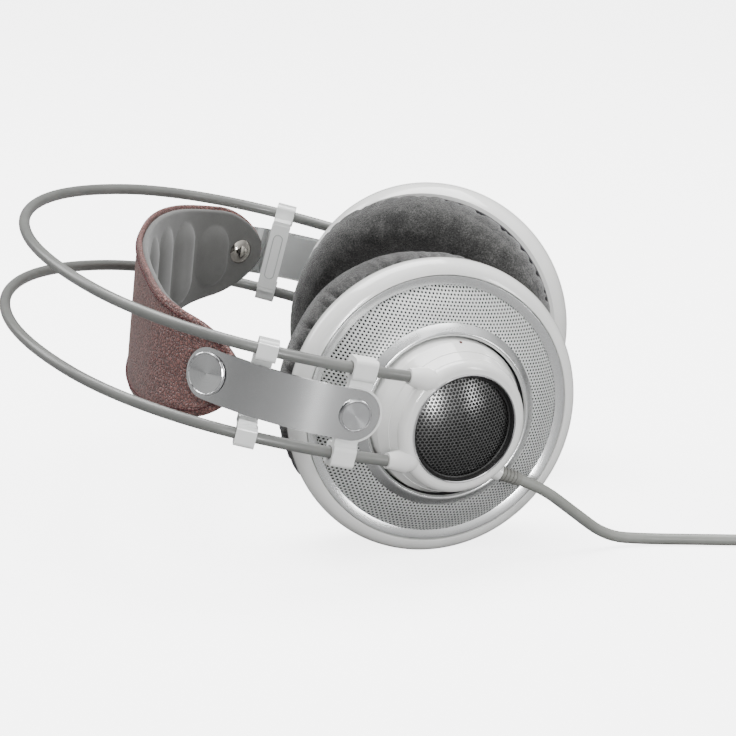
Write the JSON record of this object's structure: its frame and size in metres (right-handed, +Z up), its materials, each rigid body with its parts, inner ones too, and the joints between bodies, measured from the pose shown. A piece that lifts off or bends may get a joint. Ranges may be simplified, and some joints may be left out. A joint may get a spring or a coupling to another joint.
{
  "type": "over-ear headphones",
  "caption": "Open-back over-ear headphones with a two-rod spring arch, self-adjusting leather strap, white ear cups, velour pads and a one-sided cable.",
  "frame": {"origin": "on the surface, under the middle of the headphones without their cable", "axes": "+X to the wearer's left ear cup, the side the cable is on; +Y from the arch towards the ear cups; +Z up from the surface. The headphones lie on both cup rims with the arch raised 14 degrees"},
  "size_m": [0.2494, 0.3559, 0.1111],
  "materials": {
    "rod_sleeve": "satin",
    "gloss_white": "gloss",
    "dark_steel": "satin",
    "chrome_trim": "polished",
    "dark_mesh": "satin",
    "dark_plastic": "matte",
    "spun_aluminium": "brushed",
    "silver_grille": "satin",
    "black_cloth": "matte",
    "grey_velour": "velour",
    "light_grey_plastic": "matte",
    "matte_white": "matte",
    "brown_leather": "grained",
    "dark_lining": "matte",
    "cable_grey": "satin",
    "black_rubber": "matte",
    "gold": "polished"
  },
  "bodies": {
    "frame": {"front_rod": "rod_sleeve", "rear_rod": "rod_sleeve", "cable_strain_relief": "cable_grey", "cable_tube": "cable_grey", "cable_coil": "cable_grey", "cable_tie": "black_cloth", "cable_tail": "cable_grey", "plug_relief": "black_rubber", "plug_barrel": "chrome_trim", "plug_pin": "gold", "plug_adapter": "gold", "left_hub": "gloss_white", "left_hub_pins": "dark_steel", "left_mesh_ring": "chrome_trim", "left_mesh_dome": "dark_mesh", "left_upper_clip": "gloss_white", "right_hub": "gloss_white", "right_hub_pins": "dark_steel", "right_mesh_ring": "chrome_trim", "right_mesh_dome": "dark_mesh", "right_upper_clip": "gloss_white"},
    "headband": {"strap_leather": "brown_leather", "strap_lining": "dark_lining", "strap_screws": "chrome_trim"},
    "left_arm": {"left_arm_strip": "spun_aluminium", "left_arm_liner": "light_grey_plastic", "left_arm_cap": "spun_aluminium", "left_slider": "matte_white", "left_slider_button": "spun_aluminium"},
    "left_gimbal": {"left_gimbal_ring": "dark_plastic", "left_ring_pins": "dark_steel"},
    "left_cup": {"left_cup_rim": "gloss_white", "left_trim_ring": "spun_aluminium", "left_grille": "silver_grille", "left_bezel": "silver_grille", "left_baffle": "dark_plastic", "left_driver": "dark_plastic", "left_driver_cover": "black_cloth", "left_pad_ring": "dark_plastic", "left_ear_pad": "grey_velour", "left_baffle_screws": "dark_steel"},
    "right_arm": {"right_arm_strip": "spun_aluminium", "right_arm_liner": "light_grey_plastic", "right_arm_cap": "spun_aluminium", "right_slider": "matte_white", "right_slider_button": "spun_aluminium"},
    "right_gimbal": {"right_gimbal_ring": "dark_plastic", "right_ring_pins": "dark_steel"},
    "right_cup": {"right_cup_rim": "gloss_white", "right_trim_ring": "spun_aluminium", "right_grille": "silver_grille", "right_bezel": "silver_grille", "right_baffle": "dark_plastic", "right_driver": "dark_plastic", "right_driver_cover": "black_cloth", "right_pad_ring": "dark_plastic", "right_ear_pad": "grey_velour", "right_baffle_screws": "dark_steel"}
  },
  "joints": [
    {"name": "headband_slide", "type": "slide", "parent": "frame", "child": "headband", "axis": [0, -0.9694, 0.2453], "range_m": [0, 0.022], "stiffness_N_per_m": 100},
    {"name": "left_arm_flex", "type": "hinge", "parent": "headband", "child": "left_arm", "pos_m": [0.1073, -0.02257, 0.07398], "axis": [0, -0.2453, -0.9694], "range_deg": [0, 6.8]},
    {"name": "right_arm_flex", "type": "hinge", "parent": "headband", "child": "right_arm", "pos_m": [-0.1073, -0.02257, 0.07398], "axis": [0, 0.2453, 0.9694], "range_deg": [0, 6.8]},
    {"name": "left_cup_toe", "type": "hinge", "parent": "frame", "child": "left_gimbal", "pos_m": [0.0817, 0.05712, 0.05382], "axis": [0, 0.2453, 0.9694], "range_deg": [0, 10]},
    {"name": "left_cup_nod", "type": "hinge", "parent": "left_gimbal", "child": "left_cup", "pos_m": [0.0817, 0.05712, 0.05382], "axis": [0.3107, -0.9215, 0.2332], "range_deg": [-6.5, 0.9]},
    {"name": "right_cup_toe", "type": "hinge", "parent": "frame", "child": "right_gimbal", "pos_m": [-0.0817, 0.05712, 0.05382], "axis": [0, -0.2453, -0.9694], "range_deg": [-0.7, 14]},
    {"name": "right_cup_nod", "type": "hinge", "parent": "right_gimbal", "child": "right_cup", "pos_m": [-0.0817, 0.05712, 0.05382], "axis": [0.2419, 0.9406, -0.238], "range_deg": [-6, 1.5]}
  ],
  "couplings": [
    {"joint": "left_arm_flex", "follows": "headband_slide", "rad_per_m": 5.3},
    {"joint": "right_arm_flex", "follows": "headband_slide", "rad_per_m": 5.3}
  ]
}
